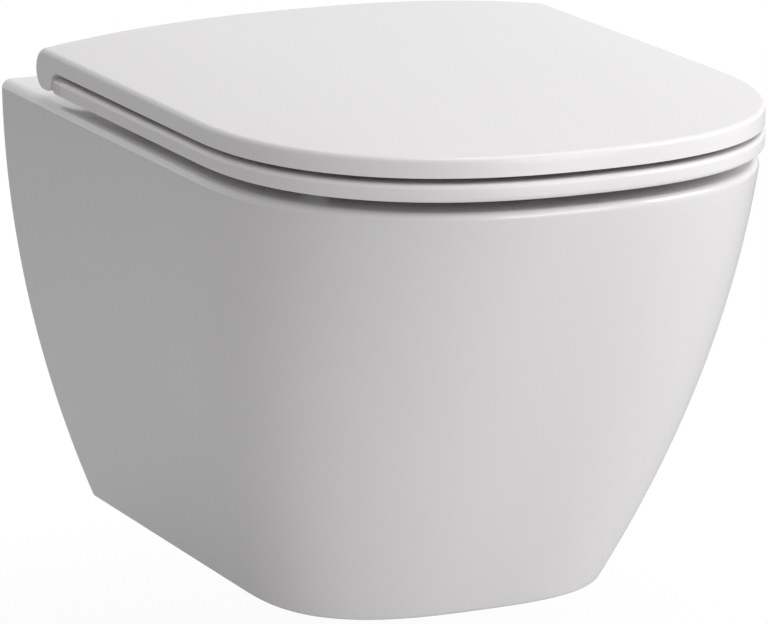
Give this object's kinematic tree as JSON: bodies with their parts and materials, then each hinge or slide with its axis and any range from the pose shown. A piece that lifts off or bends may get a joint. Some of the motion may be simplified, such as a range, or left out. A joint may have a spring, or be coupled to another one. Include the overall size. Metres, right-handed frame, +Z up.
{
  "type": "wall hung toilet",
  "caption": "Wall-hung toilet pan with closed tapering sides, soft-close seat and crowned wrap-over lid on take-off hinges",
  "frame": {"origin": "midway between the two wall fixings, on the wall plane", "axes": "+Y into the wall, the pan reaches out along -Y, +Z up, +X to the right seen from the front"},
  "size_m": [0.365, 0.51, 0.3416],
  "materials": {
    "china": "glossy white glaze",
    "duroplast_seat": "glossy white moulded",
    "duroplast_lid": "glossy white moulded",
    "pad_rubber": "matte light grey",
    "gasket_rubber": "matte black",
    "hinge_steel": "polished",
    "bolt_steel": "plain zinc",
    "nut_brass": "turned",
    "hinge_plastic": "glossy white moulded",
    "button_plastic": "fine grain grey",
    "damper_plastic": "dark grey"
  },
  "bodies": {
    "root": {"bowl": "china", "basin": "china", "flush_channel": "china", "base_gasket_left": "gasket_rubber", "hinge_base_left": "hinge_steel", "hinge_bolt_left": "bolt_steel", "clamp_bush_left": "gasket_rubber", "clamp_nut_left": "nut_brass", "base_gasket_right": "gasket_rubber", "hinge_base_right": "hinge_steel", "hinge_bolt_right": "bolt_steel", "clamp_bush_right": "gasket_rubber", "clamp_nut_right": "nut_brass", "fixing_sleeves": "button_plastic", "fixing_washers": "bolt_steel", "fixing_nuts": "bolt_steel"},
    "hinge_carriage": {"hinge_housing_left": "hinge_plastic", "hinge_housing_right": "hinge_plastic", "hinge_pin_left": "bolt_steel", "hinge_pin_right": "bolt_steel", "lid_damper": "damper_plastic", "seat_damper": "damper_plastic"},
    "seat": {"seat_ring": "duroplast_seat", "seat_buffers": "pad_rubber", "seat_damper_shaft": "damper_plastic"},
    "lid": {"lid_shell": "duroplast_lid", "lid_buffers": "pad_rubber", "lid_damper_shaft": "damper_plastic"},
    "release_left": {"release_button_left": "button_plastic"},
    "release_right": {"release_button_right": "button_plastic"}
  },
  "joints": [
    {"name": "take_off", "type": "slide", "parent": "root", "child": "hinge_carriage", "axis": [0, 0, 1], "range_m": [0, 0.02]},
    {"name": "seat_hinge", "type": "hinge", "parent": "hinge_carriage", "child": "seat", "pos_m": [0, -0.083, 0.101], "axis": [-1, 0, 0], "range_deg": [0, 96]},
    {"name": "lid_hinge", "type": "hinge", "parent": "seat", "child": "lid", "pos_m": [0, -0.083, 0.101], "axis": [1, 0, 0], "range_deg": [-96, 0]},
    {"name": "button_left", "type": "slide", "parent": "hinge_carriage", "child": "release_left", "axis": [0, -1, 0], "range_m": [0, 0.0016], "stiffness_N_per_m": 500, "springref_m": -0.002},
    {"name": "button_right", "type": "slide", "parent": "hinge_carriage", "child": "release_right", "axis": [0, -1, 0], "range_m": [0, 0.0016], "stiffness_N_per_m": 500, "springref_m": -0.002}
  ]
}
